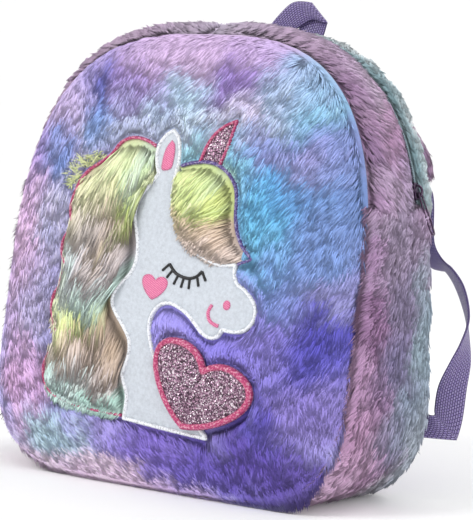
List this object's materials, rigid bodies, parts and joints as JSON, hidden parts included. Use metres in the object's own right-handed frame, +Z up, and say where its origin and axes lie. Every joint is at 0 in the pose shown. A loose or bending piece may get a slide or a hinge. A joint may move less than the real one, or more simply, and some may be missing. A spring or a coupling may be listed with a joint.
{
  "type": "childs plush backpack",
  "caption": "Small domed plush backpack with a zip over the top, a sewn-on unicorn head, a webbing handle and padded shoulder straps.",
  "frame": {"origin": "on the floor under the middle of the base, halfway between the two side seams and between the front and back seams of the base", "axes": "+Z up, -Y out of the front with the unicorn head, +X to the right of a viewer who faces the front"},
  "size_m": [0.3386, 0.1652, 0.3372],
  "materials": {
    "front_fur": "long tie-dyed plush pile",
    "back_fur": "tie-dyed plush pile",
    "side_fur": "tie-dyed plush pile",
    "rear_band_fur": "tie-dyed plush pile",
    "mane_fur": "long dyed plush pile",
    "white_felt": "matt felt",
    "glitter_fabric": "glitter",
    "white_thread": "satin stitch",
    "pink_thread": "satin stitch",
    "purple_thread": "satin stitch",
    "black_thread": "satin stitch",
    "pink_satin": "satin stitch",
    "webbing": "woven polypropylene",
    "zip_tape": "woven",
    "zip_coil": "moulded nylon",
    "slider_metal": "dark lacquered zinc"
  },
  "bodies": {
    "bag": {"front_panel": "front_fur", "back_panel": "back_fur", "base_gusset": "side_fur", "front_band": "side_fur", "rear_band": "rear_band_fur", "zip_tape": "zip_tape", "zip_coil": "zip_coil", "zip_slider": "slider_metal", "top_handle": "webbing", "strap_pad_right": "side_fur", "strap_webbing_right": "webbing", "strap_pad_left": "side_fur", "strap_webbing_left": "webbing", "head_felt": "white_felt", "head_edging": "white_thread", "mane": "mane_fur", "mane_edging": "pink_thread", "forelock": "mane_fur", "forelock_edging": "purple_thread", "horn": "glitter_fabric", "horn_edging": "pink_thread", "heart": "glitter_fabric", "heart_edging": "pink_thread", "ear_inner": "pink_satin", "cheek_heart": "pink_satin", "eyelashes": "black_thread", "mouth": "pink_satin", "nostril": "pink_satin"},
    "pull_tab": {"pull_tab": "slider_metal"}
  },
  "joints": [
    {"name": "pull_tab_hinge", "type": "hinge", "parent": "bag", "child": "pull_tab", "pos_m": [0.14193, 0.0375, 0.20948], "axis": [0, -1, 0], "range_deg": [0, 110]}
  ]
}
